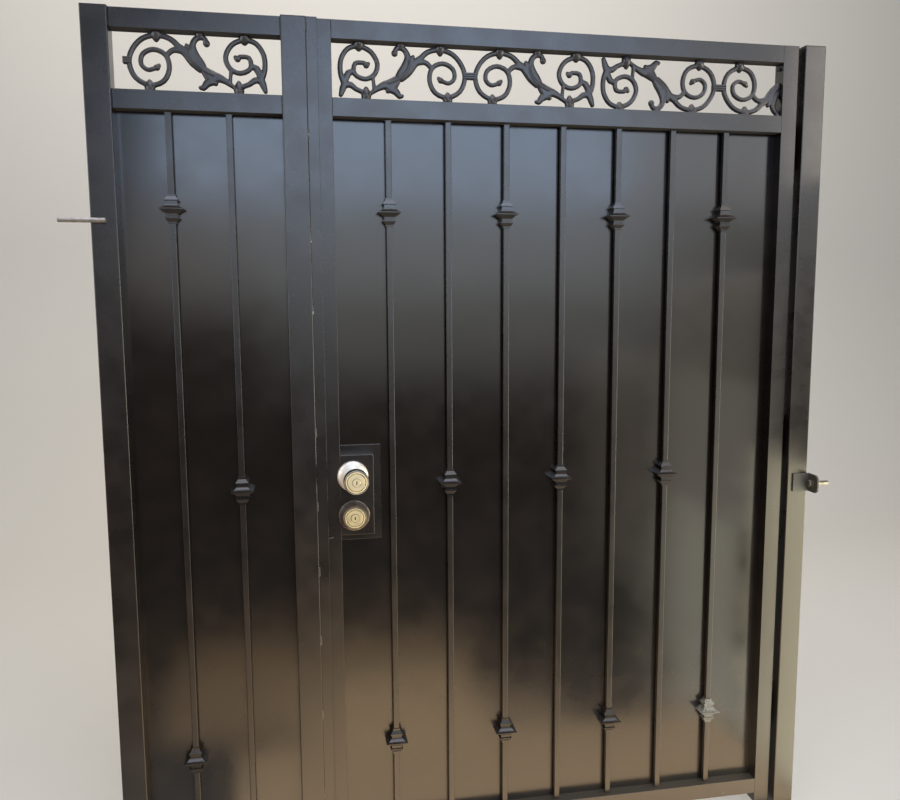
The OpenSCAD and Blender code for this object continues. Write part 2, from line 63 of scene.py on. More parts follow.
# %% Shared places
FIXED, LEAF = "fixed_frame", "gate_leaf"
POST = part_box("hinge_post")
LOCK_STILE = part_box("lock_stile")
HINGE_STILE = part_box("hinge_stile")
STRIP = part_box("stop_strip")
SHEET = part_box("leaf_sheet")
LOCK_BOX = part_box("lock_box")
FRONT = LOCK_STILE[0].y
TOP = POST[1].z
LEAF_WIDTH = HINGE_STILE[1].x - LOCK_STILE[0].x
print("gate height", round(TOP / MM), "mm, leaf width", round(LEAF_WIDTH / MM), "mm")


# %% [markdown]
# ## Small helpers
# Operators act on whatever is selected, so each step first clears the selection and picks
# its own object. A finished piece keeps its object at the origin, as a CAD node does.

# %% Picking and finishing
def pick(*objects):
    """Selects only these objects, the last one active."""
    bpy.ops.object.select_all(action="DESELECT")
    for each in objects:
        each.select_set(True)
    bpy.context.view_layer.objects.active = objects[-1]


def apply_modifiers(piece):
    pick(piece)
    for modifier in list(piece.modifiers):
        bpy.ops.object.modifier_apply(modifier=modifier.name)


def settle(piece):
    """Moves a piece's place into its mesh, so that its object sits at the origin."""
    pick(piece)
    bpy.ops.object.transform_apply(location=True, rotation=True, scale=True)
    return piece


def copy_piece(piece, name, offset=(0, 0, 0), turn=None):
    """A copy with its own mesh, turned about the origin and then shifted."""
    made = piece.copy()
    made.data = piece.data.copy()
    made.name = name
    bpy.context.scene.collection.objects.link(made)
    made.data.transform(Matrix.Translation(offset) @ (turn or Matrix.Identity(4)))
    return made


def solid_copy(node, name):
    """A CAD node's mesh as a new piece, with its loose triangles merged."""
    made = bpy.data.objects.new(name, NODES[node].data.copy())
    bpy.context.scene.collection.objects.link(made)
    pick(made)
    bpy.ops.object.mode_set(mode="EDIT")
    bpy.ops.mesh.select_all(action="SELECT")
    bpy.ops.mesh.remove_doubles(threshold=0.01 * MM)
    bpy.ops.object.mode_set(mode="OBJECT")
    return made


def triangles(piece):
    piece.data.calc_loop_triangles()
    return len(piece.data.loop_triangles)


print("the lock stile as solids:", triangles(NODES["lock_stile"]), "triangles")


# %% [markdown]
# ## Colours and node trees
# Colours are written as the sRGB hex a paint card would give. One function turns them to the
# linear values that shaders use, and one function adds any node with its settings and links.

# %% Colour and node helpers
def colour(text):
    """A linear RGBA colour from an sRGB hex value."""
    parts = [int(text[i:i + 2], 16) / 255 for i in (1, 3, 5)]
    return (*[p / 12.92 if p <= 0.04045 else ((p + 0.055) / 1.055) ** 2.4 for p in parts], 1.0)


def add(tree, kind, inputs=None, out=0, **settings):
    """Adds a node with its settings and links, and returns one of its outputs."""
    node = tree.nodes.new(kind)
    for key, value in settings.items():
        setattr(node, key, value)
    for key, value in (inputs or {}).items():
        if isinstance(value, bpy.types.NodeSocket):
            tree.links.new(value, node.inputs[key])
        else:
            node.inputs[key].default_value = value
    return node.outputs[out]


def new_material(name):
    """A material with one surface shader. Returns the material, its tree and the shader."""
    material = bpy.data.materials.new(name)
    material.use_nodes = True
    tree = material.node_tree
    return material, tree, tree.nodes["Principled BSDF"]


print("#130d0a in linear:", [round(v, 4) for v in colour("#130d0a")])


# %% [markdown]
# ## Semi-gloss alkyd enamel
# The gate is sprayed with solvent enamel, a very dark bronze that is nearly black. On tube
# it dries with a fine orange peel, so reflections break up at about 4 mm. Dust settles on
# faces that look up, and a thin beige film gathers towards the ground. The colour alone
# would look like plastic, so one function builds colour, gloss and relief from a few noises
# that all read the same place in metres: then every piece of the gate wears in one scale.

# %% Enamel
PAINT = "#130d0a"
PAINT_WARM = "#1b110c"
DUST = "#8d816c"
# Pale primer where paint is lost; the same colour is painted sunlight on one low collar.
PRIMER_AND_SUNLIGHT = "#958f80"
BLOTCH_SIZE, GRIT_SIZE, FLECK_SIZE, BEND_SIZE = 60 * MM, 3 * MM, 7 * MM, 260 * MM
FILM_STARTS, FILM_FULL = 1.0, 0.1


def enamel(name, roughness, peel, peel_size, wave=0.0, dusty=0.25, worn=(),
           tones=(PAINT, PAINT_WARM)):
    """Enamel paint: peel is the orange peel's height, wave the sheet's slow bends.
    Each place of lost paint, and each place of painted sunlight, is (centre, inner and outer reach,
    limit of the flecks)."""
    material, tree, shader = new_material(name)
    place = add(tree, "ShaderNodeTexCoord", out="Object")
    height = add(tree, "ShaderNodeSeparateXYZ", {0: place}, out="Z")
    normal = add(tree, "ShaderNodeNewGeometry", out="Normal")
    facing = add(tree, "ShaderNodeSeparateXYZ", {0: normal}, out="Z")
    blotch = add(tree, "ShaderNodeTexNoise", {"Vector": place, "Scale": 1 / BLOTCH_SIZE,
                                              "Detail": 4.0})
    grit = add(tree, "ShaderNodeTexNoise", {"Vector": place, "Scale": 1 / GRIT_SIZE, "Detail": 5.0,
                                            "Roughness": 0.65})

    # Dust lies where the face looks up, and as a film low on the gate.
    up = add(tree, "ShaderNodeMapRange", {"Value": facing, "From Min": 0.3, "From Max": 0.9})
    loose = add(tree, "ShaderNodeMapRange", {"Value": grit, "From Min": 0.35, "From Max": 0.7,
                                             "To Min": 0.25, "To Max": 0.95})
    shelf = add(tree, "ShaderNodeMath", {0: up, 1: loose}, operation="MULTIPLY")
    low = add(tree, "ShaderNodeMapRange", {"Value": height, "From Min": FILM_STARTS,
                                           "From Max": FILM_FULL, "To Min": 0.0, "To Max": 0.4})
    cloud = add(tree, "ShaderNodeMapRange", {"Value": blotch, "From Min": 0.3, "From Max": 0.7,
                                             "To Min": 0.7, "To Max": 1.0})
    film = add(tree, "ShaderNodeMath", {0: low, 1: cloud}, operation="MULTIPLY")
    both = add(tree, "ShaderNodeMath", {0: shelf, 1: film}, operation="MAXIMUM")
    dust = add(tree, "ShaderNodeMath", {0: both, 1: dusty}, operation="MULTIPLY")

    shade = add(tree, "ShaderNodeMapRange", {"Value": blotch, "From Min": 0.3, "From Max": 0.75})
    base = add(tree, "ShaderNodeMix", {0: shade, 6: colour(tones[0]), 7: colour(tones[1])}, 2,
               data_type="RGBA")
    skin = add(tree, "ShaderNodeMix", {0: dust, 6: base, 7: colour(DUST)}, 2, data_type="RGBA")
    for centre, inner, outer, limit in worn:
        # Lost paint shows pale primer, in flecks a few millimetres across; the same pale flecks on
        # the low collar are painted sunlight.
        far = add(tree, "ShaderNodeVectorMath", {0: place, 1: centre}, "Value",
                  operation="DISTANCE")
        close = add(tree, "ShaderNodeMapRange", {"Value": far, "From Min": inner, "From Max": outer,
                                                 "To Min": 1.0, "To Max": 0.0})
        flecks = add(tree, "ShaderNodeTexNoise", {"Vector": place, "Scale": 1 / FLECK_SIZE,
                                                  "Detail": 6.0, "Roughness": 0.7})
        sharp = add(tree, "ShaderNodeMapRange", {"Value": flecks, "From Min": limit,
                                                 "From Max": limit + 0.03})
        lost = add(tree, "ShaderNodeMath", {0: close, 1: sharp}, operation="MULTIPLY")
        skin = add(tree, "ShaderNodeMix", {0: lost, 6: skin, 7: colour(PRIMER_AND_SUNLIGHT)}, 2,
                   data_type="RGBA")
    tree.links.new(skin, shader.inputs["Base Color"])

    # Gloss varies a little with the blotches, and dust is dull.
    gloss = add(tree, "ShaderNodeMapRange", {"Value": blotch, "From Min": 0.3, "From Max": 0.8,
                                             "To Min": roughness * 0.85, "To Max": roughness * 1.2})
    dull = add(tree, "ShaderNodeMath", {0: dust, 1: 0.8, 2: gloss}, operation="MULTIPLY_ADD")

    # Spray comes from the front and from above, so undersides stay dry and matt.
    dry = add(tree, "ShaderNodeMapRange", {"Value": facing, "From Min": -0.25, "From Max": -0.7,
                                           "To Min": 0.0, "To Max": 0.75})
    matt = add(tree, "ShaderNodeMath", {0: dull, 1: dry}, operation="ADD")
    tree.links.new(matt, shader.inputs["Roughness"])

    bumps = add(tree, "ShaderNodeTexNoise", {"Vector": place, "Scale": 1 / peel_size})
    relief = add(tree, "ShaderNodeBump", {"Height": bumps, "Distance": peel})
    if wave:
        bend = add(tree, "ShaderNodeTexNoise", {"Vector": place, "Scale": 1 / BEND_SIZE,
                                                "Detail": 1.0})
        relief = add(tree, "ShaderNodeBump", {"Height": bend, "Distance": wave,
                                              "Normal": relief})
    tree.links.new(relief, shader.inputs["Normal"])
    shader.inputs["IOR"].default_value = 1.52
    return material


print("noises in mm:", [round(v / MM) for v in (BLOTCH_SIZE, GRIT_SIZE, FLECK_SIZE, BEND_SIZE)])


# %% [markdown]
# ## One enamel on several kinds of surface
# Drawn tube takes the paint smoothly, rolled sheet nearly like glass, and the castings stay
# rougher and chalk sooner. A stretch of the bottom rail has lost paint, down to a pale primer, and
# one low collar carries the same pale flecks as painted sunlight falling on it. So each kind of
# surface has its own gloss, peel and dust.

# %% The gate's paints
TUBE_PAINT = enamel("semi_gloss_enamel_on_tube", 0.28, 0.05 * MM, 4 * MM, dusty=0.3)
SHEET_PAINT = enamel("gloss_enamel_on_sheet", 0.17, 0.02 * MM, 5 * MM, wave=1.2 * MM, dusty=0.2)
BAR_7 = (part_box("bar_7")[0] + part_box("bar_7")[1]) / 2
# On bar 7's low collar the pale flecks are painted sunlight falling on the collar.
SUNLIT_LOW_COLLAR = (BAR_7.x, FRONT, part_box("bottom_collars")[0].z + 30 * MM)
CAST_PAINT = enamel("gloss_enamel_on_cast_collars", 0.24, 0.08 * MM, 2.2 * MM, dusty=0.12,
                    worn=((SUNLIT_LOW_COLLAR, 30 * MM, 48 * MM, 0.40),))
SCROLL_PAINT = enamel("chalked_enamel_on_scrolls", 0.36, 0.3 * MM, 2.4 * MM, dusty=0.3,
                      tones=("#1c191b", "#2b2627"))
RAIL_CHIPS = (-0.145, FRONT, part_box("bottom_rail")[1].z)
RAIL_PAINT = enamel("enamel_with_lost_flecks", 0.28, 0.05 * MM, 4 * MM, dusty=0.4,
                    worn=((RAIL_CHIPS, 40 * MM, 90 * MM, 0.64),))
# Welds have lost flecks everywhere, so their worn place reaches past the gate's ends.
WELD_PAINT = enamel("enamel_over_weld", 0.35, 0.1 * MM, 2 * MM, dusty=0.8,
                    worn=(((STRIP[0].x, STRIP[0].y, TOP / 2), 2.0, 3.0, 0.57),))
# The clips are painted lighter than the posts: painted light, standing in for the light on their
# outstanding legs.
CLIP_PAINT = enamel("enamel_on_clips_painted_lighter", 0.5, 0.2 * MM, 2 * MM, dusty=0.5,
                    tones=("#393831", "#4d4b42"))
print("paints:", TUBE_PAINT.name, SHEET_PAINT.name, CAST_PAINT.name, SCROLL_PAINT.name)


# %% [markdown]
# ## Lock metals
# The upper guard is satin nickel over zinc, with painted shade on its neck and in the gap around
# its face. The lower guard has aged to a grey bronze. The lock faces are brass under worn
# lacquer, dark in two rings with grime and painted shade, and in the key slot with painted shade.
# Metals keep the default IOR; their colour is their reflection, and tarnish changes both colour and
# gloss.

# %% Bare and plated metal
TARNISH_SIZE, MARK_SIZE = 9 * MM, 0.8 * MM


def metal(name, text, spot_text, roughness, grain, spots):
    """Bare or plated metal: grain is the height of its fine marks, spots its tarnish."""
    material, tree, shader = new_material(name)
    place = add(tree, "ShaderNodeTexCoord", out="Object")
    cloud = add(tree, "ShaderNodeTexNoise", {"Vector": place, "Scale": 1 / TARNISH_SIZE,
                                             "Detail": 4.0, "Roughness": 0.6})
    share = add(tree, "ShaderNodeMapRange", {"Value": cloud, "From Min": 0.42, "From Max": 0.75,
                                             "To Min": 0.0, "To Max": spots})
    base = add(tree, "ShaderNodeMix", {0: share, 6: colour(text), 7: colour(spot_text)}, 2,
               data_type="RGBA")
    tree.links.new(base, shader.inputs["Base Color"])
    dull = add(tree, "ShaderNodeMapRange", {"Value": cloud, "From Min": 0.3, "From Max": 0.75,
                                            "To Min": roughness * 0.8, "To Max": roughness * 1.25})
    tree.links.new(dull, shader.inputs["Roughness"])
    marks = add(tree, "ShaderNodeTexNoise", {"Vector": place, "Scale": 1 / MARK_SIZE})
    relief = add(tree, "ShaderNodeBump", {"Height": marks, "Distance": grain})
    tree.links.new(relief, shader.inputs["Normal"])
    shader.inputs["Metallic"].default_value = 1.0
    return material


AGED_BRONZE = metal("aged_bronze_plate", "#90877b", "#544c43", 0.44, 0.01 * MM, 0.8)
print("first metal:", AGED_BRONZE.name)

# %% [markdown]
# ## Grime and painted shade in a lock's face
# Fingers polish what stands out, and dirt stays in every groove; the grooves, gaps and key slot
# also lie in shade, so the one dark colour painted there is grime and painted shade together. The
# grooves are rings round the lock's axis and a short slot for the key, so the distance from the
# axis finds the rings, and two limits across and along find the slot.

# %% Grime and painted shade in rings and slot
# One dark colour for grime and painted shade in the lock's grooves, gaps and key slot.
GRIME_AND_SHADE = "#2c2312"
GRIME_AND_SHADE_DEPTH = 9 * MM
SLOT_HALF_WIDTH, SLOT_HALF_HEIGHT = 1.2 * MM, 4.2 * MM
PLUG_RADIUS = 9 * MM
GROOVE_SHARE = 0.835


def lock_metal(name, node, text, spot_text, roughness, rings, slot=False):
    """A lock's turned metal. A dark colour of grime and painted shade sits near its front in rings
    (radius, half width), and painted shade in the key slot where there is one."""
    low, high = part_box(node)
    made = metal(name, text, spot_text, roughness, 0.003 * MM, 0.5)
    tree = made.node_tree
    shader = tree.nodes["Principled BSDF"]
    place = add(tree, "ShaderNodeTexCoord", out="Object")
    centre = ((low.x + high.x) / 2, low.y, (low.z + high.z) / 2)
    shifted = add(tree, "ShaderNodeVectorMath", {0: place, 1: centre}, operation="SUBTRACT")
    flat = add(tree, "ShaderNodeVectorMath", {0: shifted, 1: (1, 0, 1)}, operation="MULTIPLY")
    reach = add(tree, "ShaderNodeVectorMath", {0: flat}, "Value", operation="LENGTH")
    depth = add(tree, "ShaderNodeSeparateXYZ", {0: shifted}, out="Y")
    grime_and_shade = 0.0
    for radius, half in rings:
        ring = add(tree, "ShaderNodeMath", {0: reach, 1: radius, 2: half}, operation="COMPARE")
        grime_and_shade = add(tree, "ShaderNodeMath", {0: ring, 1: grime_and_shade}, operation="MAXIMUM")
    if slot:
        across = add(tree, "ShaderNodeSeparateXYZ", {0: shifted}, out="X")
        along = add(tree, "ShaderNodeSeparateXYZ", {0: shifted}, out="Z")
        thin = add(tree, "ShaderNodeMath", {0: across, 1: 0.0, 2: SLOT_HALF_WIDTH},
                   operation="COMPARE")
        short = add(tree, "ShaderNodeMath", {0: along, 1: 0.0, 2: SLOT_HALF_HEIGHT},
                    operation="COMPARE")
        cut = add(tree, "ShaderNodeMath", {0: thin, 1: short}, operation="MULTIPLY")
        grime_and_shade = add(tree, "ShaderNodeMath", {0: cut, 1: grime_and_shade}, operation="MAXIMUM")
    near = add(tree, "ShaderNodeMath", {0: depth, 1: GRIME_AND_SHADE_DEPTH}, operation="LESS_THAN")
    grime_and_shade = add(tree, "ShaderNodeMath", {0: grime_and_shade, 1: near}, operation="MULTIPLY")
    bright = shader.inputs["Base Color"].links[0].from_socket
    face = add(tree, "ShaderNodeMix", {0: grime_and_shade, 6: bright, 7: colour(GRIME_AND_SHADE)}, 2, data_type="RGBA")
    tree.links.new(face, shader.inputs["Base Color"])
    return made


def face_rings(node):
    """The two dark rings of a lock face, grime and painted shade: its groove and the edge of its
    plug.
    """
    low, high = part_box(node)
    return ((GROOVE_SHARE * (high.x - low.x) / 2, 0.6 * MM), (PLUG_RADIUS, 0.5 * MM))


print("rings in mm:", [round(radius / MM, 1) for radius, half in face_rings("upper_lock_face")])

# %% [markdown]
# ## The metals in use
# The two lock faces are alike and have aged apart: the lower one has more tarnish. The rod
# is bare zinc, and the bolt is steel that keeps some old paint, so both are dull.

# %% Metals
# Both faces carry grime and painted shade in their two rings, and painted shade in the key slot.
UPPER_BRASS = lock_metal("brass_under_worn_lacquer", "upper_lock_face", "#f0e4bf", "#c8b180", 0.40,
                         face_rings("upper_lock_face"), True)
LOWER_BRASS = lock_metal("brass_with_more_tarnish", "lower_lock_face", "#e9dcb2", "#b9a26e", 0.40,
                         face_rings("lower_lock_face"), True)
# The upper guard gets one dark ring round its face: painted shade in the gap around the face.
GAP_HALF = 0.9 * MM
GAP_RADIUS = (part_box("upper_lock_face")[1].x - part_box("upper_lock_face")[0].x) / 2 + GAP_HALF
SATIN_NICKEL = lock_metal("satin_nickel_plate", "upper_lock_guard", "#cdc9bf", "#aaa399", 0.52,
                          ((GAP_RADIUS, GAP_HALF),))
# A dark colour painted on the knob's neck as painted shade.
NECK_SHADE = metal("painted_shade_on_the_knob_neck", "#453b2f", "#241d16", 0.5, 0.01 * MM, 0.8)
ZINC = metal("dull_zinc_rod", "#918c86", "#625d58", 0.44, 0.02 * MM, 0.8)
DARK_STEEL = metal("bolt_steel_under_old_paint", "#77736a", "#4a463f", 0.45, 0.03 * MM, 0.9)
print("metals:", [m.name for m in (SATIN_NICKEL, NECK_SHADE, AGED_BRONZE, UPPER_BRASS, LOWER_BRASS,
                                   ZINC, DARK_STEEL)])


# %% [markdown]
# ## Rounded edges on the tubes, bars and sheet
# Drawn tube and bar have no sharp edges: each one carries a thin line of light. A live
# bevel on the CAD nodes gives that line and leaves their meshes alone. The loose triangles
# are welded first, and flat faces joined, so the bevel sees only real edges.

# %% Bevel the plain steel
def soften(node, width, segments=3, limit=35):
    """Live rounding of a CAD node's edges that turn by more than limit degrees."""
    piece = NODES[node]
    weld = piece.modifiers.new("merge", "WELD")
    weld.merge_threshold = 0.01 * MM
    flat = piece.modifiers.new("flats", "DECIMATE")
    flat.decimate_type = "DISSOLVE"
    flat.angle_limit = math.radians(0.5)
    edge = piece.modifiers.new("edges", "BEVEL")
    edge.width = width
    edge.segments = segments
    edge.limit_method = "ANGLE"
    edge.angle_limit = math.radians(limit)
    edge.use_clamp_overlap = True
    level = piece.modifiers.new("flat_light", "WEIGHTED_NORMAL")
    level.keep_sharp = False
    level.weight = 100


EDGES = {"tube": 1.3 * MM, "bar": 1.5 * MM, "cast": 0.8 * MM, "folded": 1.5 * MM, "small": 0.6 * MM}
for node in NODES:
    if "collars" in node:
        soften(node, EDGES["cast"], 2)
    elif "sheet" in node:
        # A sheet stays flat, so that it mirrors without bends.
        NODES[node].data.shade_flat()
    elif "bar" in node:
        soften(node, EDGES["bar"])
    elif node == "lock_box":
        soften(node, EDGES["folded"])
    elif node == "lock_plate" or "post" in node or "rail" in node or "stile" in node:
        soften(node, EDGES["tube"])
    elif "scroll" not in node:
        soften(node, EDGES["small"], 2)
print("softened", sum(1 for n in NODES.values() if n.modifiers), "CAD nodes")

# %% [markdown]
# ## Paint on the CAD nodes
# Each node takes its finish from the record's slot, so the names agree in both places.

# %% Give every node its finish
FINISH = {"painted_steel": TUBE_PAINT, "painted_sheet": SHEET_PAINT, "painted_casting": CAST_PAINT,
          "satin_nickel": SATIN_NICKEL, "worn_brass": UPPER_BRASS, "zinc_steel": ZINC,
          "bolt_steel": DARK_STEEL}
SLOT_OF = {part["node"]: part["material_slot"] for part in frame["record"]["subparts"]}


def paint(piece, material):
    piece.data.materials.clear()
    piece.data.materials.append(material)


for node, piece in NODES.items():
    paint(piece, FINISH[SLOT_OF[node]])
    if piece.modifiers:
        pick(piece)
        bpy.ops.object.shade_smooth_by_angle(angle=math.radians(32))
paint(NODES["lower_lock_guard"], AGED_BRONZE)
paint(NODES["lower_lock_face"], LOWER_BRASS)
paint(NODES["bottom_rail"], RAIL_PAINT)
paint(NODES["angle_clips"], CLIP_PAINT)
for node in ("scroll_bands", "panel_band"):
    paint(NODES[node], SCROLL_PAINT)
print("finishes in use:", len(set(SLOT_OF.values())))


# %% [markdown]
# ## The scroll castings
# A cast scroll has no corners: sand rounds every edge and fills every inside corner. The
# solids carry its strokes with six flat sides. A fine voxel remesh fuses strokes, leaves and
# bosses into one skin, and a few smoothing passes melt the facets as casting would. The
# passes thin the strokes, so the skin is first swollen by about as much.

# %% Fuse and soften the castings
def cast(node, body, voxel=1.5 * MM, passes=4, swell=0.95 * MM):
    """A smooth casting in place of a faceted node."""
    piece = solid_copy(node, node.replace("_scroll", "_scroll_casting"))
    skin = piece.modifiers.new("skin", "REMESH")
    skin.mode = "VOXEL"
    skin.voxel_size = voxel
    grow = piece.modifiers.new("grow", "DISPLACE")
    grow.mid_level = 0.0
    grow.strength = swell
    melt = piece.modifiers.new("melt", "SMOOTH")
    melt.factor = 0.5
    melt.iterations = passes
    apply_modifiers(piece)
    bpy.ops.object.shade_smooth()
    paint(piece, SCROLL_PAINT)
    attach(piece, body)
    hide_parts(node)
    print(piece.name, triangles(piece), "triangles")


cast("leaf_scroll", LEAF)
cast("panel_scroll", FIXED)

# %% [markdown]
# ## The upper lock's knob
# From the front the upper lock shows as a bright domed rose with a keyed knob standing off
# it. The solids carry it as one plain tapered body. Here a disc is extruded and scaled step
# by step along the knob's profile: rose, neck, flared body and the rim around the face. The
# rose sits a few millimetres off the knob's axis, as on the gate, and the neck is painted dark as
# painted shade.

# %% Turn the knob
# Each step is a share of the foot's radius and a share of the length.
PROFILE = [(1.0, 0.03), (0.985, 0.06), (0.93, 0.10), (0.82, 0.14), (0.66, 0.17), (0.50, 0.19),
           (0.46, 0.24), (0.48, 0.34), (0.60, 0.46), (0.74, 0.58), (0.79, 0.68), (0.795, 0.90),
           (0.755, 0.925), (0.76, 0.99), (0.75, 1.0), (0.715, 1.0), (0.71, 0.9)]
KNOB_SIDES = 96
ROSE_SHIFT = (-4.4 * MM, 2.8 * MM)
NECK = (0.195, 0.92)  # The part of the length painted in shade.


def turned(name, node, profile, finish, body):
    """A turned piece in place of a node, from shares of its foot's radius and its length."""
    low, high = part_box(node)
    radius, length = (high.x - low.x) / 2, high.y - low.y
    bpy.ops.object.select_all(action="DESELECT")
    bpy.ops.mesh.primitive_circle_add(vertices=KNOB_SIDES, radius=radius, fill_type="NGON",
                                      location=(*ROSE_SHIFT, 0))
    made = settle(bpy.context.object)
    made.name = name
    bpy.ops.object.mode_set(mode="EDIT")
    bpy.ops.mesh.select_all(action="SELECT")
    share, up, off = 1.0, 0.0, ROSE_SHIFT
    for new_share, new_up in profile:
        step = (0, 0, (new_up - up) * length)
        if off != (0, 0) and new_up > NECK[0]:
            # The neck leaves the rose and returns to the knob's own axis.
            step, off = (-off[0], -off[1], step[2]), (0, 0)
        bpy.ops.mesh.extrude_region_move(TRANSFORM_OT_translate={"value": step})
        grow = new_share / share
        bpy.ops.transform.resize(value=(grow, grow, 1), center_override=(*off, new_up * length))
        share, up = new_share, new_up
    bpy.ops.mesh.select_all(action="SELECT")
    bpy.ops.mesh.normals_make_consistent(inside=False)
    bpy.ops.object.mode_set(mode="OBJECT")
    made.rotation_euler = (math.radians(90), 0, 0)
    made.location = ((low.x + high.x) / 2, high.y, (low.z + high.z) / 2)
    settle(made)
    bpy.ops.object.shade_smooth_by_angle(angle=math.radians(50))
    paint(made, finish)
    made.data.materials.append(NECK_SHADE)
    # Faces along the neck take the painted shade.
    for face in made.data.polygons:
        if NECK[0] < (high.y - face.center.y) / length < NECK[1] and face.normal.y > -0.9:
            face.material_index = 1
    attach(made, body)
    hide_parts(node)
    return made


upper_knob = turned("upper_lock_knob", "upper_lock_guard", PROFILE, SATIN_NICKEL,
                    LEAF)
print("knob:", triangles(upper_knob), "triangles")

# %% [markdown]
# ## Welds
# A hand-laid weld is a row of overlapping ripples. A bead is modelled as a few flattened
# balls in a row, fused by a remesh and smoothed, in three lengths. Copies become stitches
# along the stop strip, tacks on the clip and at the ends of the bars, and seams on the
# hinge plates and round the sheets at the back.

# %% Model the weld beads
def bead(name, length, width, ripples):
    """A weld bead along Z, centred on the origin, with its crown towards -Y."""
    parts = []
    for i in range(ripples):
        bpy.ops.object.select_all(action="DESELECT")
        height = (i / (ripples - 1) - 0.5) * (length - width)
        bpy.ops.mesh.primitive_uv_sphere_add(segments=16, ring_count=10, radius=width / 2,
                                             location=(0, 0, height))
        ball = bpy.context.object
        ball.scale = (1.0, 0.62, 0.8)
        ball.rotation_euler = (math.radians(25), 0, 0)
        parts.append(ball)
    pick(*parts)
    bpy.ops.object.join()
    made = settle(bpy.context.object)
    made.name = name
    fuse = made.modifiers.new("fuse", "REMESH")
    fuse.mode = "VOXEL"
    fuse.voxel_size = width / 9
    soft = made.modifiers.new("soft", "SMOOTH")
    soft.iterations = 2
    apply_modifiers(made)
    bpy.ops.object.shade_smooth()
    return made


STITCH = bead("stitch", 24 * MM, 6 * MM, 8)
TACK = bead("tack", 6 * MM, 6 * MM, 2)
SEAM = bead("seam", 30 * MM, 5 * MM, 9)
print("one stitch:", triangles(STITCH), "triangles")


def lay(name, model, places, body, finish):
    """Copies a bead to each (place, turn) and joins the copies into one piece."""
    copies = [copy_piece(model, name, place, turn) for place, turn in places]
    pick(*copies)
    if len(copies) > 1:
        bpy.ops.object.join()
    made = bpy.context.object
    made.name = name
    paint(made, finish)
    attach(made, body)


# %% Lay the welds at the front
UPRIGHT = Matrix.Identity(4)
ALONG_X = Matrix.Rotation(math.radians(90), 4, "Y")
TO_BACK = Matrix.Rotation(math.radians(180), 4, "Z")
corner = Vector((STRIP[0].x - 0.5 * MM, STRIP[0].y, 0))
# The stitches lie at uneven heights, in millimetres, as a welder spaces them by eye.
heights = [192, 381, 555, 713, 859, 1022, 1283, 1435, 1647, 1860]
lay("strip_stitch_welds", STITCH, [(corner + Vector((0, 0, z * MM)), UPRIGHT) for z in heights],
    FIXED, WELD_PAINT)

clip_low, clip_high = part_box("angle_clips")
clip_mid = (clip_low.z + clip_high.z) / 2
lay("clip_tack_welds", TACK,
    [(Vector((clip_low.x, POST[0].y, clip_mid + dz * MM)), UPRIGHT) for dz in (-14, 10)],
    FIXED, WELD_PAINT)

# Two stray tacks on the lock stile, beside the flat bar.
stray = Vector((STRIP[1].x, FRONT, LOCK_BOX[0].z))
lay("stile_stray_tacks", TACK,
    [(stray + Vector((dx * MM, 0, dz * MM)), UPRIGHT) for dx, dz in ((3, -5), (8, -4))],
    LEAF, WELD_PAINT)
print("stitches:", len(heights))


# %% [markdown]
# ## Welds at the ends of the bars
# Each bar is held by small tacks in its corners, where the torch could reach. They show as
# bumps that soften the joint of bar and rail.

# %% Tack the bars
def bar_tacks(name, bars, body):
    """A small weld on both sides of each bar's two ends."""
    places = []
    for low, high in bars:
        depth = (low.y + high.y) / 2
        for end in (low.z + 1 * MM, high.z - 1 * MM):
            places += [(Vector((side, depth, end)), ALONG_X) for side in (low.x, high.x)]
    lay(name, TACK, places, body, TUBE_PAINT)


def bars_of(node):
    """The low and high corner of each loose bar of a node, from left to right."""
    points = [v.co for v in NODES[node].data.vertices]
    sides = sorted({round(p.x, 4) for p in points})
    low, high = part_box(node)
    pairs = zip(sides[::2], sides[1::2])
    return [(Vector((a, low.y, low.z)), Vector((b, high.y, high.z))) for a, b in pairs]


bar_tacks("leaf_bar_tacks", [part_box(f"bar_{i}") for i in range(1, 8)], LEAF)
bar_tacks("panel_bar_tacks", bars_of("panel_bars"), FIXED)

# %% [markdown]
# ## Welds at the back
# A strong seam holds each hinge plate on its outer edge. The sheets are thin and would warp
# under a long seam, so short ones hold them at intervals.

# %% Weld hinges and sheets
HINGE_REACH = 50.8 * MM  # Half of a hinge's height.


def plate_welds(name, x, body):
    """Two seams on the outer edge of each of the three hinge plates, at the gate's back."""
    low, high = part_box("post_hinge_halves")
    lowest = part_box("leaf_hinge_halves")[0].z
    mids = [lowest + HINGE_REACH, (low.z + high.z) / 2, high.z - HINGE_REACH]
    lay(name, SEAM,
        [(Vector((x, POST[1].y, z + dz * MM)), TO_BACK) for z in mids for dz in (-30, 30)],
        body, TUBE_PAINT)


plate_welds("post_plate_welds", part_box("post_hinge_halves")[1].x, FIXED)
plate_welds("leaf_plate_welds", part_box("leaf_hinge_halves")[0].x, LEAF)


def back_seams(name, low, high, body, step=150 * MM):
    """Short seams where a sheet meets the tubes at its back."""
    depth = high.y
    places = []
    count = int((high.z - low.z) / step)
    for i in range(count):
        z = low.z + (i + 0.5) * (high.z - low.z) / count
        places += [(Vector((x, depth, z)), TO_BACK) for x in (low.x, high.x)]
    count = max(1, int((high.x - low.x) / step))
    for i in range(count):
        x = low.x + (i + 0.5) * (high.x - low.x) / count
        places += [(Vector((x, depth, z)), TO_BACK @ ALONG_X) for z in (low.z, high.z)]
    lay(name, SEAM, places, body, TUBE_PAINT)


back_seams("leaf_sheet_seams", *SHEET, LEAF)
back_seams("panel_sheet_seams", *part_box("panel_sheet"), FIXED)
for model in (STITCH, TACK, SEAM):
    bpy.data.objects.remove(model)

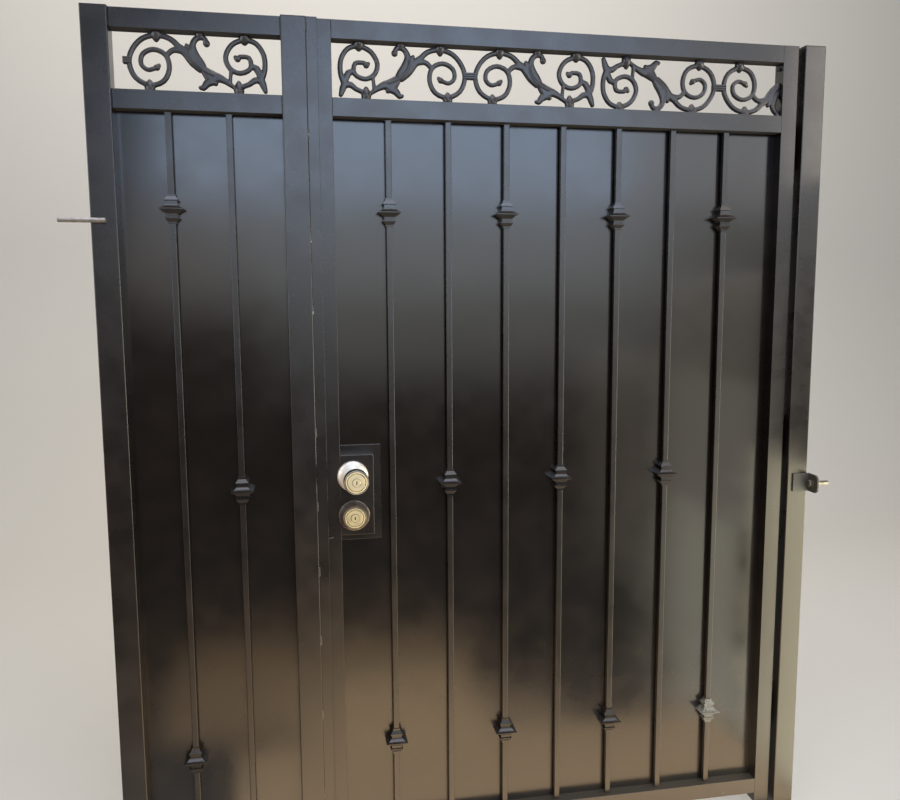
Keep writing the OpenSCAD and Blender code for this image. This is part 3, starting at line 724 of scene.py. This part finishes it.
# %% [markdown]
# ## Floor and backdrop
# The gate stands on a pale floor that curves up behind it without an edge, so nothing
# behind it draws the eye. Towards the viewer it is painted dark as painted shade, so the gloss
# mirrors little light from it.

# %% Floor and backdrop
FLOOR_SIZE = (16, 7.5)
FLOOR_CENTRE = (-0.75, 0.35, -2 * MM)
WALL_HEIGHT = 6.5
WALL_CURVE = 1.6


def sweep():
    """A floor that turns up into a wall behind the gate, in one smooth sheet."""
    bpy.ops.object.select_all(action="DESELECT")
    bpy.ops.mesh.primitive_plane_add(size=1, location=(0, 0, 0))
    floor = bpy.context.object
    floor.name = "floor_and_backdrop"
    floor.scale = (*FLOOR_SIZE, 1)
    floor.location = FLOOR_CENTRE
    settle(floor)
    bpy.ops.object.mode_set(mode="EDIT")
    bpy.ops.mesh.select_all(action="DESELECT")
    shape = bmesh.from_edit_mesh(floor.data)
    back = max(v.co.y for v in shape.verts)
    for edge in shape.edges:
        if all(v.co.y > back - 0.01 for v in edge.verts):
            edge.select_set(True)
    bmesh.update_edit_mesh(floor.data)
    bpy.ops.mesh.extrude_region_move(TRANSFORM_OT_translate={"value": (0, 0, WALL_HEIGHT)})
    bpy.ops.mesh.select_all(action="SELECT")
    bpy.ops.object.mode_set(mode="OBJECT")
    curve = floor.modifiers.new("curve", "BEVEL")
    curve.width = WALL_CURVE
    curve.segments = 16
    curve.limit_method = "ANGLE"
    apply_modifiers(floor)
    bpy.ops.object.shade_smooth()
    material, tree, shader = new_material("pale_floor_with_painted_shade_in_front")
    place = add(tree, "ShaderNodeTexCoord", out="Object")
    depth = add(tree, "ShaderNodeSeparateXYZ", {0: place}, out="Y")
    # Towards the viewer the floor is painted dark, as painted shade for the gloss to mirror.
    fade = add(tree, "ShaderNodeMapRange", {"Value": depth, "From Min": -0.2, "From Max": -1.1})
    shade = add(tree, "ShaderNodeMix", {0: fade, 6: colour("#d3d0ca"), 7: colour("#35312d")}, 2,
                data_type="RGBA")
    tree.links.new(shade, shader.inputs["Base Color"])
    shader.inputs["Roughness"].default_value = 0.75
    paint(floor, material)
    return floor


floor = sweep()
print("floor and backdrop:", len(floor.data.polygons), "faces")


# %% [markdown]
# ## Soft light
# Dark gloss shows what it mirrors, so the lamps are placed as mirror images. Soft panels far
# in front stand for a cool sky and the haze below it, and two high ones light the gate's
# tops and the backdrop. Cards are seen in the gloss alone: overhead and at both sides they
# draw light along the rounded edges, and near the gate they stand for a light wall beside
# the hinge post and for warm paving. The camera sees none of them.

# %% Lamps
def panel(name, centre, aim, width, height, power, text, lights=True):
    """A soft panel that the camera doesn't see. A card (lights off) shows in gloss alone."""
    lamp = bpy.data.lights.new(name, "AREA")
    lamp.shape = "RECTANGLE"
    lamp.size, lamp.size_y = width, height
    lamp.energy = power
    lamp.color = colour(text)[:3]
    shown = bpy.data.objects.new(name, lamp)
    bpy.context.scene.collection.objects.link(shown)
    shown.location = centre
    shown.rotation_euler = (Vector(aim) - Vector(centre)).to_track_quat("-Z", "Y").to_euler()
    shown.visible_camera = False
    shown.visible_diffuse = lights


def radiance(width, height, level):
    """The power in watts at which a panel of this size shows at this level, 1 being white."""
    return math.pi * width * height * level


# Each row: name, centre, the point it faces, width and height, level, colour.
LAMPS = (
    ("sky_panel", (0.05, -4.8, 2.80), (0.05, 0, 2.8), (2.6, 1.7), 7.0, "#c6dbf8"),
    ("sky_left_panel", (-1.70, -4.8, 2.40), (-1.70, 0, 2.4), (0.90, 0.9), 7.0, "#c6dbf8"),
    ("sky_edge_panel", (2.55, -4.8, 2.70), (2.55, 0, 2.7), (2.4, 1.5), 3.9, "#dfe3e8"),
    ("haze_panel", (0.10, -4.8, 1.62), (0.10, 0, 1.6), (3.0, 0.66), 3.0, "#e3e9ea"),
    ("haze_left_panel", (-1.86, -4.8, 1.60), (-1.86, 0, 1.6), (0.92, 0.70), 2.2, "#e8e4e0"),
    ("haze_right_panel", (2.15, -4.8, 1.66), (2.15, 0, 1.66), (1.1, 0.6), 1.6, "#e6e6e2"),
    ("far_panel", (0.15, -4.8, 0.98), (0.15, 0, 0.98), (2.9, 0.6), 1.45, "#e6e8e2"),
    ("top_panel", (-0.7, -1.9, 4.2), (-0.7, -0.8, 0), (4.2, 2.0), 3.0, "#f4f6ff"),
    ("back_panel", (-0.8, 1.4, 4.8), (-0.8, 3.2, 0.6), (5.0, 2.2), 4.4, "#fffaf2"),
)
CARDS = (
    ("left_warm_card", (-2.7, -1.3, 0.55), (0, -1.3, 0.55), (1.6, 0.9), 2.0, "#e0a084"),
    ("left_edge_card", (-3.1, -1.3, 1.75), (0, -1.3, 1.75), (2.0, 1.5), 6.0, "#e9eef2"),
    ("right_edge_card", (2.6, -1.5, 0.95), (0, -1.5, 0.95), (2.4, 1.6), 10.0, "#f2ead8"),
    ("overhead_card", (-0.8, -0.35, 4.1), (-0.8, -0.35, 0), (2.8, 1.1), 6.5, "#d5defa"),
    ("wall_high_card", (0.10, -0.66, 1.22), (-1, -0.66, 1.22), (0.68, 0.32), 1.2, "#f1ead9"),
    ("wall_near_card", (0.10, -0.66, 0.84), (-1, -0.66, 0.84), (0.68, 0.44), 2.0, "#f1ead9"),
    ("wall_sunlit_card", (0.10, -0.70, 0.31), (-1, -0.70, 0.31), (0.56, 0.62), 3.3, "#f6f1db"),
    ("wall_mid_card", (0.10, -1.45, 0.65), (-1, -1.45, 0.65), (0.90, 0.9), 0.8, "#efe2cf"),
    ("post_low_card", (0.10, -0.18, 0.44), (-1, -0.18, 0.44), (0.29, 0.88), 7.0, "#fbf1cd"),
    ("post_high_card", (0.10, -0.16, 1.97), (-1, -0.16, 1.97), (0.24, 0.74), 3.4, "#f4e6d6"),
    ("wall_corner_card", (0.10, -0.36, 0.13), (-1, -0.36, 0.13), (0.2, 0.26), 2.2, "#f6f1db"),
    ("paving_corner_card", (0.02, -0.60, 0.02), (0.02, -0.60, 1), (0.16, 0.30), 3.0, "#f2e2c4"),
    ("paving_near_card", (-0.65, -0.28, 0.02), (-0.65, -0.28, 1), (1.42, 0.45), 3.6, "#ffd8a4"),
    ("paving_mid_card", (-0.91, -0.74, 0.02), (-0.91, -0.74, 1), (0.56, 0.48), 3.8, "#ffd8a4"),
    ("paving_right_card", (-0.51, -0.63, 0.02), (-0.51, -0.63, 1), (0.24, 0.26), 2.0, "#ffdbab"),
    ("paving_left_card", (-1.40, -0.96, 0.02), (-1.40, -0.96, 1), (0.42, 0.72), 2.0, "#ffd4a0"),
    ("paving_far_card", (-0.90, -1.14, 0.02), (-0.90, -1.14, 1), (0.62, 0.32), 1.7, "#ffd9a8"),
)
for table in (LAMPS, CARDS):
    for name, centre, aim, size, level, text in table:
        panel(name, centre, aim, *size, radiance(*size, level), text, table is LAMPS)

world = bpy.data.worlds.new("studio")
bpy.context.scene.world = world
world.use_nodes = True
background = world.node_tree.nodes["Background"]
background.inputs["Color"].default_value = colour("#e8dccc")
background.inputs["Strength"].default_value = 0.18

# %% [markdown]
# ## The camera
# The picture was taken at chest height, two metres in front of the lock stile, and turned
# a little to the right and down. Lens, place and turn come from fitting the straight edges
# of posts, rails and bars in a frame of 900 by 800 pixels.

# %% Camera
FRAME_PIXELS = 900
FOCAL_PIXELS = 927.4
CENTRE_SHIFT = (38.4, 13.9)
TILT_DOWN, TURN_RIGHT = 0.1332, 0.2052
camera_data = bpy.data.cameras.new("camera")
camera_data.sensor_fit = "HORIZONTAL"
camera_data.sensor_width = 36.0
camera_data.lens = camera_data.sensor_width * FOCAL_PIXELS / FRAME_PIXELS
camera_data.shift_x = -CENTRE_SHIFT[0] / FRAME_PIXELS
camera_data.shift_y = CENTRE_SHIFT[1] / FRAME_PIXELS
camera = bpy.data.objects.new("camera", camera_data)
camera.location = (-1.1814, -2.0327, 1.3283)
camera.rotation_euler = (math.pi / 2 - TILT_DOWN, 0, -TURN_RIGHT)
bpy.context.scene.collection.objects.link(camera)
bpy.context.scene.camera = camera
bpy.context.scene.view_settings.view_transform = "Standard"
print("lens", round(camera_data.lens, 2), "mm")
